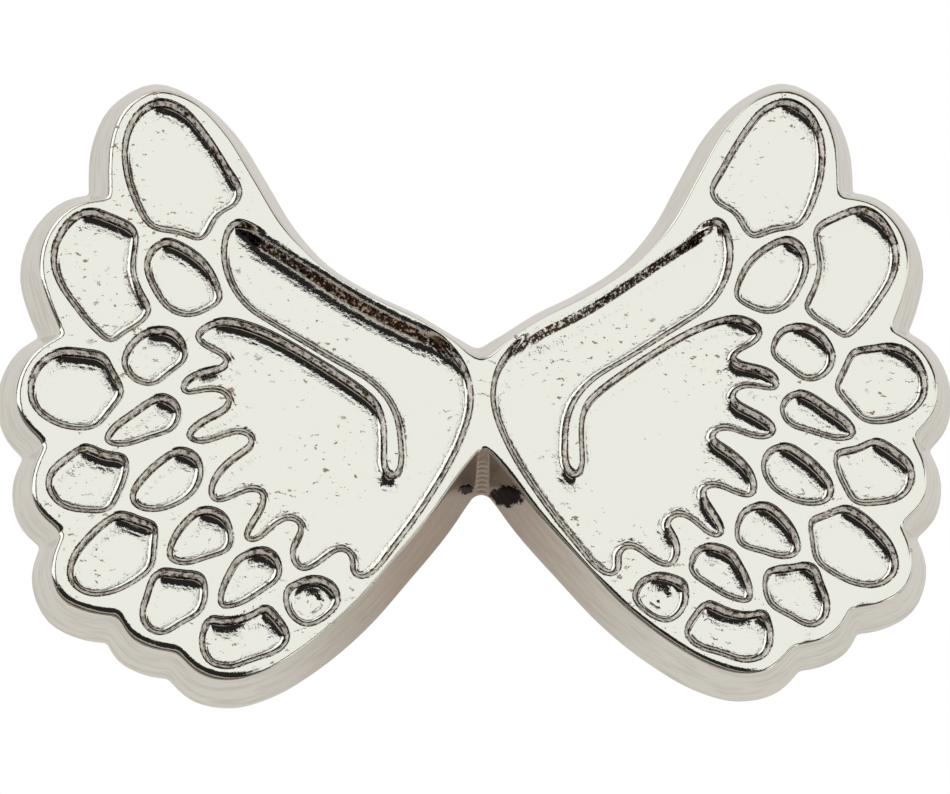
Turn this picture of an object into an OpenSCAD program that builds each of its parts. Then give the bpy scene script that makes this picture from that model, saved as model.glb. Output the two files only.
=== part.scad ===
// A pair of feathered wings cast as one badge, worn on a jacket.
// Two nail posts are soldered into its back, and each holds a butterfly clutch.
// X runs across the span, +Z is up as worn, the face looks along -Y and the back along +Y.
// The origin is the middle of the flat back, on the wings' line of symmetry.

/* [Wings] */
// Width across both wings, at the back edge
wing_span = 60; // [54:1:72]
// Height from the lowest feather to the highest, at the back edge
wing_height = 40.2; // [36:0.1:48]
// Thickness of the casting, from the flat back to the top of the ridges
casting_t = 3; // [2.8:0.1:4]
// How much narrower the face is than the back, on each side
side_draft = 1.4; // [0.8:0.1:1.7]
// The same along the arms' upper edges, which are steeper
arm_draft = 1; // [0.8:0.1:1.7]
// Depth of the feather hollows below the ridges
relief_depth = 0.75; // [0.5:0.05:1.1]

/* [Posts] */
// Distance between the two posts
post_spacing = 28; // [24:1:34]
// Height of the posts above the origin
post_rise = 1; // [-2:0.5:2]
// Diameter of a post's shank
post_d = 1.1; // [0.9:0.05:1.4]
// Diameter of the thicker root that goes through the cloth
root_d = 1.5; // [1.5:0.1:2]
// Length of the root, from the flat back
root_length = 1.5; // [1:0.1:1.8]
// Length of a post, from the flat back to its point
post_length = 7.6; // [7.2:0.1:10]
// Length of the ground point
point_length = 1.1; // [0.8:0.1:1.4]
// Diameter of the nail head inside the casting
head_d = 4; // [3.4:0.1:5]
// Thickness of the nail head
head_t = 0.5; // [0.4:0.05:0.6]
// Diameter left by the grip groove
groove_d = 0.8; // [0.6:0.05:0.85]
// Width of the grip groove
groove_w = 0.6; // [0.4:0.05:0.8]
// Solder round and under the nail head
solder_gap = 0.2; // [0.1:0.05:0.3]

/* [Clutches] */
// Gap for the cloth between the casting and a clutch
cloth_gap = 2.2; // [2.1:0.1:3]
// Diameter of the clutch plate
plate_d = 11.5; // [10.5:0.25:13]
// Thickness of the clutch plate
plate_t = 0.45; // [0.35:0.05:0.55]
// Width of the dome's flange, held under the plate's rolled rim
flange_w = 0.65; // [0.5:0.05:1]
// Height of the dome's top above the clutch's front
dome_h = 2.6; // [2.4:0.1:3]
// Thickness of the dome's sheet
dome_t = 0.35; // [0.3:0.05:0.4]
// Thickness of the spring wings' sheet
wing_t = 0.35; // [0.3:0.05:0.4]
// Width of a spring wing's finger pad
pad_w = 7.2; // [6:0.2:8]
// Radius that a spring wing curls round
curl_r = 2.2; // [1.8:0.1:2.6]
// Distance from the post to the middle of a spring wing's neck
neck_out = 2.35; // [2.2:0.05:2.6]

/* [Fits] */
// Radial clearance of the clutch plate on the post's shank
bore_clear = 0.08; // [0.04:0.01:0.1]
// Radial clearance of the closed jaws round the shank
jaw_clear = 0.06; // [0.03:0.01:0.09]
// Clearance round a spring wing in its slot
slot_clear = 0.18; // [0.15:0.01:0.25]
// Metal left between the end of a slot and the dome's shoulder
slot_margin = 0.05; // [0.02:0.01:0.3]
// Gap between the two closed jaws
jaw_gap = 0.12; // [0.08:0.01:0.2]
// Clearance of the dome's flange inside the rolled rim
flange_clear = 0.05; // [0.02:0.01:0.1]

/* [Hidden] */
$fn = 48;

LEFT = -1;
RIGHT = 1;
nickel = [0.84, 0.83, 0.80];
steel = [0.75, 0.75, 0.74];
tin = [0.62, 0.62, 0.61];
brass = [0.83, 0.66, 0.33];

// The face is drawn 57.2 wide and 37.35 high; these fit it to the stated sizes.
drawn_span = 57.2;
drawn_height = 37.35;
scale_out = (wing_span - 2 * side_draft) / drawn_span;
scale_up = (wing_height - 2 * side_draft) / drawn_height;
trim = 0.3;             // the drafted blank runs past both faces by this much and is cut flat
outline_steps = 4;
hollow_steps = 3;
palm_steps = 2;

// One wing's face outline, from the top of the neck round the feathers to the fork below the neck.
// Each point is [out, up]. A third value of 1 makes it a sharp notch between two feathers, and a
// fourth of 1 gives it the arm's draft.
FACE = [
    [0, 1.1], [1.6, 2.2, 0, 1], [4, 3.7, 0, 1], [7, 5.2, 0, 1], [10, 7.2, 0, 1], [12.2, 9.75, 0, 1],
    [13.95, 12.8, 0, 1], [15.95, 16.1, 0, 1], [17.9, 18, 0, 1], [20, 18.6], [22, 17.45], [22.9, 15.2],
    [23, 13.6], [22.95, 11.5, 1], [25.2, 11], [26.75, 9.4], [27.25, 7.2], [26.75, 5.2], [25.75, 2.8, 1],
    [27.7, 1.5], [28.6, -0.6], [28.25, -2.45], [26.8, -4.1, 1],
    [27.6, -6.2], [27.35, -7.95], [25.75, -9.6, 1],
    [26.4, -11.9], [25.7, -13.75], [24.3, -14.45], [22.35, -14.75, 1],
    [21.45, -16.2], [20.6, -16.65], [18.8, -17, 1],
    [17.35, -18.4], [15.6, -18.75], [13.6, -18.2], [11, -16.65], [8.4, -14.5],
    [5.6, -11.4], [3.2, -8.55], [1.5, -6.15], [0, -4.35, 1]
];

// The closed hollows of one wing, from the longest feather down.
HOLLOWS = [
    // top feather
    [[19.8, 18], [18.4, 17.5], [17, 15.9], [15.4, 13.3], [14.7, 12], [15, 11.1], [16.2, 10.4],
     [16.7, 9.4], [17.2, 8.75], [18.6, 9.2], [20.4, 9.55], [21.5, 11.4], [22.1, 13.6], [22, 15.8],
     [21.1, 17.4]],
    // second feather and the oval beside it
    [[24.2, 10.85], [22.8, 10.4], [21.2, 9.35], [21.25, 8.4], [21.4, 7], [20.9, 5.4], [20.35, 4.3],
     [20.8, 3.6], [22, 2.85], [22.9, 2.2], [23.7, 2.8], [25.2, 4.6], [26.3, 6.4], [26.55, 7.8],
     [26.1, 9.4], [25.2, 10.5]],
    [[19.5, 8.9], [18.2, 8.4], [16.9, 7.3], [16.2, 6], [16, 4.9], [16.8, 4.3], [18.1, 3.85],
     [19.3, 4.25], [20.3, 5.6], [20.8, 7.2], [20.4, 8.4]],
    // third feather and the small round beside it
    [[26, 1.85], [24.4, 1.75], [23.2, 1.5], [22.7, 0.5], [22.05, -1], [22.7, -1.9], [23.8, -3.15],
     [25, -3.25], [26.6, -2.75], [27.7, -1.7], [27.9, -0.4], [27.2, 1.2]],
    [[20.1, 3.2], [19, 3.05], [18.3, 2.2], [18.15, 1.2], [19.2, 0.3], [20.2, -0.5], [21.5, -0.2],
     [22.2, 0.9], [21.7, 2.3], [20.9, 3]],
    // teardrop
    [[19.8, -1.05], [19, -1.35], [18.55, -2], [18.9, -3.2], [20.4, -3.8], [22.6, -4.3], [23.3, -4],
     [22.9, -3.1], [21.6, -2.1], [20.6, -1.35]],
    // fourth feather and the one beside it
    [[24.4, -4.15], [23.2, -4.7], [21.8, -5], [21.8, -5.9], [22.4, -7.5], [22.8, -8.25],
     [24.4, -8.4], [25.8, -8.1], [26.7, -7.1], [26.7, -5.9], [25.7, -4.9]],
    [[18.9, -4.45], [17.6, -4.85], [17.25, -5.5], [17.7, -7.2], [18.4, -7.8], [20.6, -8.4],
     [21.5, -8.05], [21.7, -7.3], [20.9, -6], [19.8, -5]],
    // fifth feather and the one beside it
    [[22.4, -8.4], [20.9, -8.9], [20.05, -9.2], [20.1, -10.4], [20.3, -11.9], [21.4, -12.8],
     [22.9, -13.5], [24.4, -13.5], [25.4, -12.6], [25.3, -11.2], [24.3, -9.8], [23.2, -8.8]],
    [[17.5, -8.2], [15.9, -8.6], [15.5, -9.4], [15.55, -10.8], [17, -11.35], [18.4, -11.75],
     [19.4, -11.4], [19.3, -10.3], [18.5, -9]],
    // sixth feather and the leaf beside it
    [[20.1, -12.05], [18.6, -12.15], [17.2, -12.4], [17, -13.4], [17.3, -14.6], [18.6, -15.4],
     [19.8, -16.05], [20.8, -15.6], [21.1, -14.6], [20.7, -13.3], [20.4, -12.3]],
    [[14.6, -10.9], [13.2, -10.8], [12.55, -11.6], [12.5, -12.5], [13.6, -13.4], [15.3, -14.35],
     [16.3, -14.4], [16.3, -13.4], [15.7, -12], [15.2, -11.2]],
    // small round and the lowest feather
    [[11.8, -12.85], [10.2, -12.55], [9.4, -12.9], [8.9, -14.1], [9.8, -15.1], [11, -15.65],
     [12.1, -14.9], [12.4, -13.8], [12.2, -13]],
    [[17.1, -14.95], [15.9, -15.1], [14.6, -14.8], [13.4, -14.25], [12.7, -15], [12, -16.3],
     [12.5, -17], [14.2, -17.65], [15.9, -18.15], [17.1, -17.7], [17.5, -16.5], [17.3, -15.4]]
];

// The one open hollow of the arm and palm: along the arm to the neck, down to the lowest pocket,
// back up past the short feather tips, and round the raised bar that ends inside it.
PALM = [
    [15.3, 10.1], [14.6, 10], [13, 8.95], [11, 7.65], [9, 6.3], [7, 5], [5, 3.9], [3.2, 3],
    [1.9, 1.9], [1, 0.7], [0.6, -0.6], [0.6, -2], [1.1, -3.7], [2, -5.6], [3.1, -7.4],
    [4.4, -9.3], [5.8, -11.1], [7, -12.5], [7.8, -12.75], [8.35, -12.2], [8.2, -11.4],
    [8.8, -10.85], [9.6, -11.3], [10.6, -12.05], [11.4, -12.2], [11.95, -11.4], [11.8, -10.3],
    [11.25, -9.4], [12, -8.9], [13.1, -9.6], [14.1, -10.4], [14.8, -10.2], [14.5, -9.2],
    [13.7, -7.9], [13.6, -7.3], [14.4, -7.15], [15.6, -7.7], [16.7, -7.85], [16.9, -6.9],
    [16.2, -5.6], [15, -4.6], [14.2, -4], [14.9, -3.5], [16.2, -3.9], [17.6, -4.2],
    [18.35, -3.7], [17.6, -2.75], [16.4, -2.1], [15.6, -1.5], [16.1, -0.9], [17.4, -0.95],
    [18.5, -1.05], [18.6, -0.4], [17.8, 0.35], [16.5, 0.65], [15.7, 1], [16.4, 1.55],
    [17.3, 2], [17.75, 2.7], [17.1, 3.4], [16, 3.75], [14.6, 3.5], [13, 2.85], [11, 1.7],
    [9, 0.4], [7.4, -0.75], [6.4, -1.7], [6, -3], [6, -4.8], [5.9, -6], [5.6, -6.3],
    [5.3, -5.9], [5.2, -4.4], [5.4, -2.7], [6, -1.4], [7.2, -0.2], [9, 0.85], [11, 2.1],
    [13, 3.35], [14.4, 4.3], [15.4, 5.6], [15.95, 7.2], [15.95, 8.8], [15.6, 9.8]
];

seat_d = head_d + 2 * solder_gap;
seat_depth = head_t + solder_gap;
post_tip_r = 0.12;      // radius left at the ground point
bore_r = post_d / 2 + bore_clear;
jaw_r = post_d / 2 + jaw_clear;
hub_r = bore_r + 0.87;
hub_h = plate_t + 0.45;
rim_wall = 0.35;        // the rolled rim round the clutch plate
rim_lap = rim_wall + 0.45;
flange_t = dome_t + 0.05;
rim_h = plate_t + flange_t + 0.3;
flange_r = plate_d / 2 - rim_wall - flange_clear;
dome_r = flange_r - flange_w;
dome_hole_r = post_d / 2 + 0.4;
dome_round = 0.9;       // radius of the dome's shoulder
slot_out = neck_out + wing_t / 2 + slot_clear;
neck_half = sqrt((dome_r - dome_round) ^ 2 - slot_out ^ 2) - slot_clear - slot_margin;
tongue_drop = 0.3;      // gap between a jaw's tongue and the dome's ceiling
tongue_up = dome_h - dome_t - tongue_drop - wing_t / 2;
groove_up = cloth_gap + tongue_up;
curl_end = 55;          // degrees at which the finger pad's curl ends
pad_gap = 0.15;         // gap between a finger pad and the dome

// ---- smooth outlines ----
function flat(p) = [p[0], p[1]];
function sharp(p) = len(p) > 2 && p[2] == 1;
function on_arm(p) = len(p) > 3;
function around(pts, i) = pts[(i + len(pts)) % len(pts)];
function slope(a, b, c) =
    let (before = norm(b - a), after = norm(c - b))
    (after * (b - a) / before + before * (c - b) / after) / (before + after);
function curve_point(b, c, mb, mc, t) =
    (2 * t ^ 3 - 3 * t ^ 2 + 1) * b + (t ^ 3 - 2 * t ^ 2 + t) * mb
    + (3 * t ^ 2 - 2 * t ^ 3) * c + (t ^ 3 - t ^ 2) * mc;
function span_point(pts, i, t) =
    let (
        a = flat(around(pts, i - 1)), b = flat(around(pts, i)),
        c = flat(around(pts, i + 1)), d = flat(around(pts, i + 2)),
        reach = norm(c - b), start_sharp = sharp(around(pts, i)), end_sharp = sharp(around(pts, i + 1)),
        round_b = slope(a, b, c) * reach, round_c = slope(b, c, d) * reach,
        mb = start_sharp ? 1.5 * (c - b) - 0.5 * round_c : round_b,
        mc = end_sharp ? 1.5 * (c - b) - 0.5 * round_b : round_c
    )
    curve_point(b, c, mb, mc, t);
function smooth(pts, steps) =
    [for (i = [0 : len(pts) - 1]) for (j = [0 : steps - 1]) span_point(pts, i, j / steps)];

// Outward unit normal of a clockwise outline's edge, and an outline moved out by a share of its draft
function edge_normal(a, b) = [a[1] - b[1], b[0] - a[0]] / norm(b - a);
function moved_out(pts, share) = [
    for (i = [0 : len(pts) - 1])
    let (
        a = flat(around(pts, i - 1)), b = flat(around(pts, i)), c = flat(around(pts, i + 1)),
        n1 = edge_normal(a, b), n2 = edge_normal(b, c),
        way = sharp(pts[i]) ? (n1 + n2) / (1 + n1 * n2) : edge_normal(a, c),
        q = b + share * (on_arm(pts[i]) ? arm_draft : side_draft) * way
    )
    placed(q, pts[i])
];
// A moved point that keeps its third and fourth values
function placed(q, p) = [for (k = [0 : len(p) - 1]) k < 2 ? q[k] : p[k]];
function sized(pts) = [for (p = pts) placed([p[0] * scale_out, p[1] * scale_up], p)];
function mirrored(pts) = [
    for (i = [len(pts) - 1 : -1 : 0]) placed([-pts[i][0], pts[i][1]], pts[i])
];
both_wings = let (one = sized(FACE), other = mirrored(one))
    concat(one, [for (i = [1 : len(other) - 2]) other[i]]);

// ---- casting ----
function blank_ring(up) =
    let (loop = smooth(moved_out(both_wings, 1 - up / casting_t), outline_steps))
    [for (p = loop) [p[0], p[1], up]];

module drafted_blank() {
    low = -trim;
    high = casting_t + trim;
    ring = len(both_wings) * outline_steps;
    fork = ring / 2;
    heart = [14 * scale_out, -1 * scale_up];
    points = concat(
        blank_ring(low), blank_ring(high),
        [for (up = [low, high]) for (side = [RIGHT, LEFT]) [side * heart[0], heart[1], up]]
    );
    low_right = 2 * ring;
    high_right = low_right + 2;
    walls = [
        for (i = [0 : ring - 1]) let (j = (i + 1) % ring)
        each [[i, j, ring + j], [i, ring + j, ring + i]]
    ];
    caps = [
        for (i = [0 : ring - 1]) let (j = (i + 1) % ring, half = i < fork ? 0 : 1)
        each [[high_right + half, ring + i, ring + j], [low_right + half, j, i]]
    ];
    middle = [
        [high_right, ring + fork, ring], [high_right + 1, ring, ring + fork],
        [low_right, 0, fork], [low_right + 1, fork, 0]
    ];
    polyhedron(points, concat(walls, caps, middle));
}

module hollow(pts, steps, side) {
    translate([0, 0, casting_t - relief_depth])
        linear_extrude(relief_depth + 1)
            polygon([for (p = smooth(sized(pts), steps)) [side * p[0], p[1]]]);
}

module wing_casting() {
    color(nickel)
        rotate([90, 0, 0])
            difference() {
                drafted_blank();
                translate([-wing_span, -wing_height, casting_t])
                    cube([2 * wing_span, 2 * wing_height, 1]);
                translate([-wing_span, -wing_height, -1])
                    cube([2 * wing_span, 2 * wing_height, 1]);
                for (side = [LEFT, RIGHT]) {
                    for (pts = HOLLOWS) hollow(pts, hollow_steps, side);
                    hollow(PALM, palm_steps, side);
                    translate([side * post_spacing / 2, post_rise, -1])
                        cylinder(d = seat_d, h = 1 + seat_depth);
                }
            }
}

// ---- posts ----
// Places its children on a post's axis, with their +Z pointing away from the casting's back
module on_post(side) {
    translate([side * post_spacing / 2, 0, post_rise]) rotate([-90, 0, 0]) children();
}

module post(side) {
    shank_r = post_d / 2;
    color(steel)
        on_post(side)
            rotate_extrude()
                polygon([
                    [0, -head_t], [head_d / 2, -head_t], [head_d / 2, 0], [root_d / 2, 0],
                    [root_d / 2, root_length], [shank_r, root_length + 0.2],
                    [shank_r, groove_up - groove_w / 2], [groove_d / 2, groove_up - groove_w / 4],
                    [groove_d / 2, groove_up + groove_w / 4], [shank_r, groove_up + groove_w / 2],
                    [shank_r, post_length - point_length], [post_tip_r, post_length], [0, post_length]
                ]);
}

module solder(side) {
    color(tin)
        on_post(side)
            difference() {
                translate([0, 0, -seat_depth]) cylinder(d = seat_d, h = seat_depth - 0.05);
                translate([0, 0, -head_t]) cylinder(d = head_d, h = head_t + 1);
            }
}

// ---- clutches ----
module on_clutch(side) {
    on_post(side) translate([0, 0, cloth_gap]) children();
}

module clutch_plate(side) {
    edge = plate_d / 2;
    soft = 0.2;
    color(brass)
        on_clutch(side)
            rotate_extrude()
                polygon([
                    [bore_r, 0], [edge - soft, 0], [edge, soft], [edge, rim_h - soft],
                    [edge - soft, rim_h], [edge - rim_lap, rim_h],
                    [edge - rim_lap, plate_t + flange_t], [edge - rim_wall, plate_t + flange_t],
                    [edge - rim_wall, plate_t], [hub_r, plate_t], [hub_r, hub_h], [bore_r, hub_h]
                ]);
}

function arc(centre, r, from, to, steps) =
    [for (i = [0 : steps]) let (a = from + (to - from) * i / steps) centre + r * [cos(a), sin(a)]];

module clutch_dome(side) {
    shoulder = [dome_r - dome_round, dome_h - dome_round];
    color(brass)
        on_clutch(side)
            difference() {
                rotate_extrude()
                    polygon(concat(
                        [[dome_r - dome_t, plate_t], [flange_r, plate_t],
                         [flange_r, plate_t + flange_t], [dome_r, plate_t + flange_t]],
                        arc(shoulder, dome_round, 0, 90, 6),
                        [[dome_hole_r, dome_h], [dome_hole_r, dome_h - dome_t]],
                        arc(shoulder, dome_round - dome_t, 90, 0, 6)
                    ));
                for (way = [LEFT, RIGHT])
                    translate([way * neck_out, 0, dome_h])
                        cube([wing_t + 2 * slot_clear, 2 * (neck_half + slot_clear), 2], center = true);
            }
}

// A sheet bent along a path of [out, up] points, as a closed outline of even thickness
function sheet_side(path, shift) = [
    for (i = [0 : len(path) - 1])
    let (
        a = path[max(i - 1, 0)], b = path[i], c = path[min(i + 1, len(path) - 1)],
        n1 = a == b ? edge_normal(b, c) : edge_normal(a, b),
        n2 = b == c ? edge_normal(a, b) : edge_normal(b, c)
    )
    b + shift * (n1 + n2) / (1 + n1 * n2)
];
function sheet(path, t) =
    let (left = sheet_side(path, t / 2), right = sheet_side(path, -t / 2))
    concat(left, [for (i = [len(right) - 1 : -1 : 0]) right[i]]);

module clutch_wing(side, way) {
    curl_start = dome_h + 0.35;
    curl_centre = [neck_out + curl_r, curl_start];
    lip_r = 0.6;
    lip_centre = curl_centre + (curl_r + lip_r) * [cos(curl_end), sin(curl_end)];
    tip = lip_centre[0] + lip_r * cos(240 + curl_end) + wing_t / 2 + 0.05;
    bend = concat(
        [[jaw_gap / 2, tongue_up], [neck_out, tongue_up]],
        arc(curl_centre, curl_r, 180, curl_end, 12),
        arc(lip_centre, lip_r, 180 + curl_end, 240 + curl_end, 4)
    );
    color(brass)
        on_clutch(side)
            rotate([0, 0, way == RIGHT ? 0 : 180])
                rotate([90, 0, 0])
                    difference() {
                        translate([0, 0, -pad_w / 2])
                            linear_extrude(pad_w) polygon(sheet(bend, wing_t));
                        for (edge = [LEFT, RIGHT])
                            rotate([0, 90, 0])
                                linear_extrude(plate_d)
                                    polygon([for (p = beside_wing(curl_start)) [edge * p[0], p[1]]]);
                        for (edge = [LEFT, RIGHT])
                            translate([tip - pad_w / 2, dome_h + pad_gap, 0])
                                rotate([-90, 0, 0])
                                    linear_extrude(2 * curl_r)
                                        polygon([for (p = round_waste) [p[0], edge * p[1]]]);
                        translate([0, tongue_up - wing_t, 0])
                            rotate([-90, 0, 0]) cylinder(r = jaw_r, h = 2 * wing_t);
                    }
}

// The corner sheared off a finger pad's free end, as [out, across] from the middle of its curve
round_waste = concat(
    arc([0, 0], pad_w / 2, 0, 90, 16),
    [[0, pad_w / 2 + 1], [pad_w / 2 + 1, pad_w / 2 + 1], [pad_w / 2 + 1, 0]]
);

// The sheet sheared away on one side of a spring wing, as [across, up]: beside its narrow neck and
// tongue, then round the edge of its finger pad
function beside_wing(curl_start) =
    let (
        middle = [0, curl_start + curl_r / 2], pad_low = dome_h + pad_gap,
        a = asin((pad_low - middle[1]) / (pad_w / 2))
    )
    concat(
        [[pad_w, -1], [neck_half, -1], [neck_half, pad_low]],
        arc(middle, pad_w / 2, a, 80, 16),
        [[0.5, middle[1] + pad_w], [pad_w, middle[1] + pad_w]]
    );

wing_casting();
post(LEFT);  // left_post
post(RIGHT);  // right_post
solder(LEFT);  // left_solder
solder(RIGHT);  // right_solder
clutch_plate(LEFT);  // left_clutch_plate
clutch_plate(RIGHT);  // right_clutch_plate
clutch_dome(LEFT);  // left_clutch_dome
clutch_dome(RIGHT);  // right_clutch_dome
clutch_wing(LEFT, RIGHT);  // left_clutch_inner_wing
clutch_wing(LEFT, LEFT);  // left_clutch_outer_wing
clutch_wing(RIGHT, LEFT);  // right_clutch_inner_wing
clutch_wing(RIGHT, RIGHT);  // right_clutch_outer_wing
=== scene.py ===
"""Finished look of a feathered wings badge with two clutch-back posts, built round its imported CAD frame."""

import math

import bpy
import numpy as np
from mathutils import Matrix, Vector, geometry


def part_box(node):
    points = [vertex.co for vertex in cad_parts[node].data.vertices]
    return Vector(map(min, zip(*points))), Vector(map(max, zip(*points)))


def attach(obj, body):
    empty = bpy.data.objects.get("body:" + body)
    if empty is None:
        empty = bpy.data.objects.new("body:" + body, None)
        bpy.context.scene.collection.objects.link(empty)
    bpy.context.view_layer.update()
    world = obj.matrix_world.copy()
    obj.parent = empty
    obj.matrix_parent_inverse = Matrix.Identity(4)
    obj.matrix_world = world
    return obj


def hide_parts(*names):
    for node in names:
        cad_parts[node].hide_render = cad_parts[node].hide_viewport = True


bl_info = {
    "name": "Feathered wings badge",
    "version": (1, 0, 0),
    "blender": (4, 5, 0),
    "location": "3D View > Sidebar > Wings Badge",
    "description": "Casts, plates and mounts a pair of feathered wings as a clutch-back badge",
    "category": "Object",
}

MM = 0.001
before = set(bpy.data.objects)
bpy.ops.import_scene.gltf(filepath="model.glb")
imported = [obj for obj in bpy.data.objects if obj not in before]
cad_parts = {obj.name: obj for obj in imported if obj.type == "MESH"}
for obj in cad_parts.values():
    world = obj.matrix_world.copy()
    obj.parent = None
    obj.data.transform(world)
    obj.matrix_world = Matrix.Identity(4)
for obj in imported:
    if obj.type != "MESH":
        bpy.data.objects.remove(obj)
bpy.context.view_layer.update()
CASTING = "wing_casting"
SIDES = ("left", "right")

# all in millimetres, except the share
CASTING_T = -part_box(CASTING)[0].y / MM   # thickness of the casting
RELIEF_DEPTH = 0.75                      # depth of every hollow
SEAT_DEPTH = 0.7                         # depth of the two seats for the nail heads
OUTLINE_GAP = 0.13                       # spacing of points along the outer edge
RIM_GAP = 0.12                           # spacing of points along a hollow's rim
POINT_GAP = 0.055                        # points of the face nearer than this are merged
EDGE_STEPS = 10                          # rings in the rounded front edge
WALL_STEPS = 60                          # rings down the side wall
FORK_TOP = -2.0                          # the fork under the neck lies below this height
FLAT = 0.003                             # a point this near to a plane lies on it
UPPER = 9                                # added to the distance of anything above it, to rule it out
EASE = 0.6                               # share of the way that one easing pass moves a point


# in degrees, except the camera's shift, which is in shares of its width
LIGHT_LEAN = 32.0                        # the lamps lean from overhead towards the right
CAMERA_RISE, CAMERA_TURN, CAMERA_ROLL = -14.0, -4.2, -1.4
CAMERA_SHIFT = (-0.007, -0.0232)


# ---------------------------------------------------------------- node helpers
class Term:
    """A shader socket that takes part in sums; each operator adds one Math node."""

    def __init__(self, recipe, socket):
        self.recipe, self.socket = recipe, socket

    def math(self, operation, *values):
        return self.recipe.add("ShaderNodeMath", {"operation": operation}, {i: v for i, v in enumerate(values)})

    def __add__(self, other):
        return self.math("ADD", self, other)

    def __radd__(self, other):
        return self.math("ADD", other, self)

    def __sub__(self, other):
        return self.math("SUBTRACT", self, other)

    def __rsub__(self, other):
        return self.math("SUBTRACT", other, self)

    def __mul__(self, other):
        return self.math("MULTIPLY", self, other)

    def __rmul__(self, other):
        return self.math("MULTIPLY", other, self)

    def __truediv__(self, other):
        return self.math("DIVIDE", self, other)

    def __rtruediv__(self, other):
        return self.math("DIVIDE", other, self)

    def __neg__(self):
        return self.math("MULTIPLY", self, -1.0)

    def __abs__(self):
        return self.math("ABSOLUTE", self)

    def __pow__(self, other):
        return self.math("POWER", self, other)


class Recipe:
    """One node tree, cleared and rebuilt: every node comes from add()."""

    def __init__(self, tree):
        self.tree = tree
        tree.nodes.clear()

    def add(self, kind, settings=None, inputs=None, output=0):
        node = self.tree.nodes.new(kind)
        for name, value in (settings or {}).items():
            if name == "stops":
                self._set_stops(node.color_ramp, value)
            else:
                setattr(node, name, value)
        for key, value in (inputs or {}).items():
            socket = node.inputs[key]
            if isinstance(value, Term):
                self.tree.links.new(value.socket, socket)
            else:
                socket.default_value = value
        self.last = node
        return Term(self, node.outputs[output]) if node.outputs else node

    @staticmethod
    def _set_stops(ramp, stops):
        while len(ramp.elements) > 1:
            ramp.elements.remove(ramp.elements[-1])
        for i, (place, colour) in enumerate(stops):
            stop = ramp.elements[0] if i == 0 else ramp.elements.new(place)
            stop.position = place
            stop.color = (*colour, 1.0)

    def place(self):
        """Position on the piece, in millimetres."""
        spot = self.add("ShaderNodeTexCoord", output="Object")
        return self.add("ShaderNodeVectorMath", {"operation": "SCALE"}, {0: spot, "Scale": 1 / MM})

    def stretched(self, spot, x, y, z):
        return self.add("ShaderNodeVectorMath", {"operation": "MULTIPLY"}, {0: spot, 1: (x, y, z)})

    def noise(self, spot, scale, detail=2.0, rough=0.5, output=0):
        return self.add(
            "ShaderNodeTexNoise", {"noise_dimensions": "3D"},
            {"Vector": spot, "Scale": scale, "Detail": detail, "Roughness": rough}, output,
        )

    def step(self, value, low, high, first=0.0, last=1.0):
        """A smooth rise from first to last as value goes from low to high."""
        return self.add(
            "ShaderNodeMapRange", {"interpolation_type": "SMOOTHSTEP"},
            {"Value": value, "From Min": low, "From Max": high, "To Min": first, "To Max": last},
        )

    def stored(self, name):
        """A number kept on the mesh's points under that name."""
        return self.add("ShaderNodeAttribute", {"attribute_name": name}, None, "Fac")

    def split(self, way):
        """The three parts of a vector."""
        self.add("ShaderNodeSeparateXYZ", None, {0: way})
        return [Term(self, self.last.outputs[k]) for k in range(3)]

    def mix(self, factor, a, b):
        """Colour a where the factor is 0 and b where it is 1."""
        a, b = (c if isinstance(c, Term) else (*c, 1.0) for c in (a, b))
        return self.add("ShaderNodeMix", {"data_type": "RGBA"}, {0: factor, 6: a, 7: b}, 2)

    def ramp(self, value, low, high, bands):
        """Colours over real values from low to high: bands holds (value, colour) stops, 32 at most."""
        share = self.add("ShaderNodeMapRange", None, {"Value": value, "From Min": low, "From Max": high})
        stops = [((at - low) / (high - low), tone) for at, tone in bands]
        return self.add("ShaderNodeValToRGB", {"stops": stops}, {0: share})

    def surface(self, colour, roughness, height, metallic=1.0):
        """A principled surface whose height, in millimetres, feeds its Bump."""
        bump = self.add("ShaderNodeBump", None, {"Height": height, "Distance": MM, "Strength": 1.0})
        sockets = {"Base Color": colour, "Roughness": roughness, "Metallic": metallic, "Normal": bump}
        body = self.add("ShaderNodeBsdfPrincipled", None, sockets)
        self.add("ShaderNodeOutputMaterial", None, {"Surface": body})


def new_material(name):
    material = bpy.data.materials.new(name)
    material.use_nodes = True
    return material, Recipe(material.node_tree)


# ---------------------------------------------------------------- settings
def length(name, text, default):
    """A length property whose default is given in millimetres."""
    return bpy.props.FloatProperty(
        name=name, description=text, default=default * MM, unit="LENGTH", precision=5
    )


def colour(name, text, default):
    return bpy.props.FloatVectorProperty(
        name=name, description=text, default=default, size=3, min=0.0, max=1.0, subtype="COLOR"
    )


def number(name, text, default):
    return bpy.props.FloatProperty(name=name, description=text, default=default)


class CastingSettings(bpy.types.PropertyGroup):
    wall: length("Wall", "Width in plan of the steep part of a hollow's wall", 0.4)
    cove: length("Cove", "Width in plan of the soft curve from the wall to the floor", 0.65)
    long_wall: length("Arm wall", "Width in plan of the wall along the arm's upper edge", 1.9)
    edge_round: length("Edge rounding", "How far in from the outer front edge its rounding starts", 0.55)
    back_round: length("Back rounding", "Rounding of the outer back edge", 0.1)
    softness: length("Softness", "How far the mould's fine edges are softened", 0.07)
    wave: length("Waviness", "Height of the slow waves in the cast face", 0.012)
    rib_pitch: length("Rib pitch", "Spacing of the ribs in the fork under the neck", 0.3)
    rib_height: length("Rib height", "Height of those ribs", 0.022)


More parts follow.
